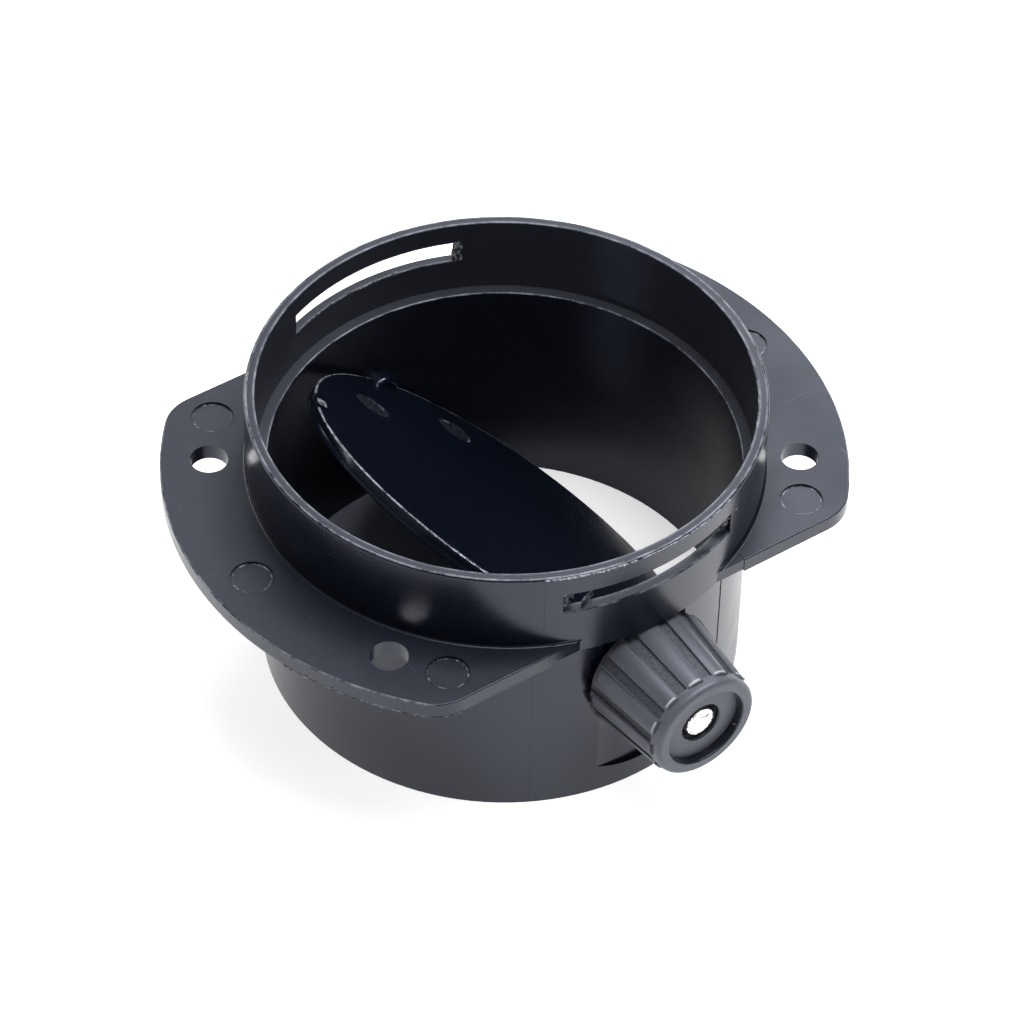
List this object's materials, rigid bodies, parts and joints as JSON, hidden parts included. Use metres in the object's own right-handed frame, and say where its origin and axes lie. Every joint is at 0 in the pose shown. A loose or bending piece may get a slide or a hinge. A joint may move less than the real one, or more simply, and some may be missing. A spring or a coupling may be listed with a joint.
{
  "type": "duct connector with butterfly valve",
  "caption": "Round plastic duct connector with an eared mounting flange, a windowed collar, a plain spigot and a butterfly flap turned by a fluted knob on its side.",
  "frame": {"origin": "centre of the spigot's lower end, on the duct axis", "axes": "+Z along the duct axis from the spigot to the collar, X along the long way of the flange, the knob points to -Y"},
  "size_m": [0.126, 0.111, 0.061],
  "materials": {
    "housing": "semi-gloss moulded black",
    "flap": "semi-gloss moulded black",
    "knob": "matt moulded dark grey",
    "rivet": "bright plated"
  },
  "bodies": {
    "body": {"housing": "housing"},
    "valve": {"flap": "flap", "knob": "knob", "rivet": "rivet"}
  },
  "joints": [
    {"name": "valve_turn", "type": "hinge", "parent": "body", "child": "valve", "pos_m": [0, 0, 0.029], "axis": [0, 1, 0], "range_deg": [-41.6, 48.4]}
  ]
}
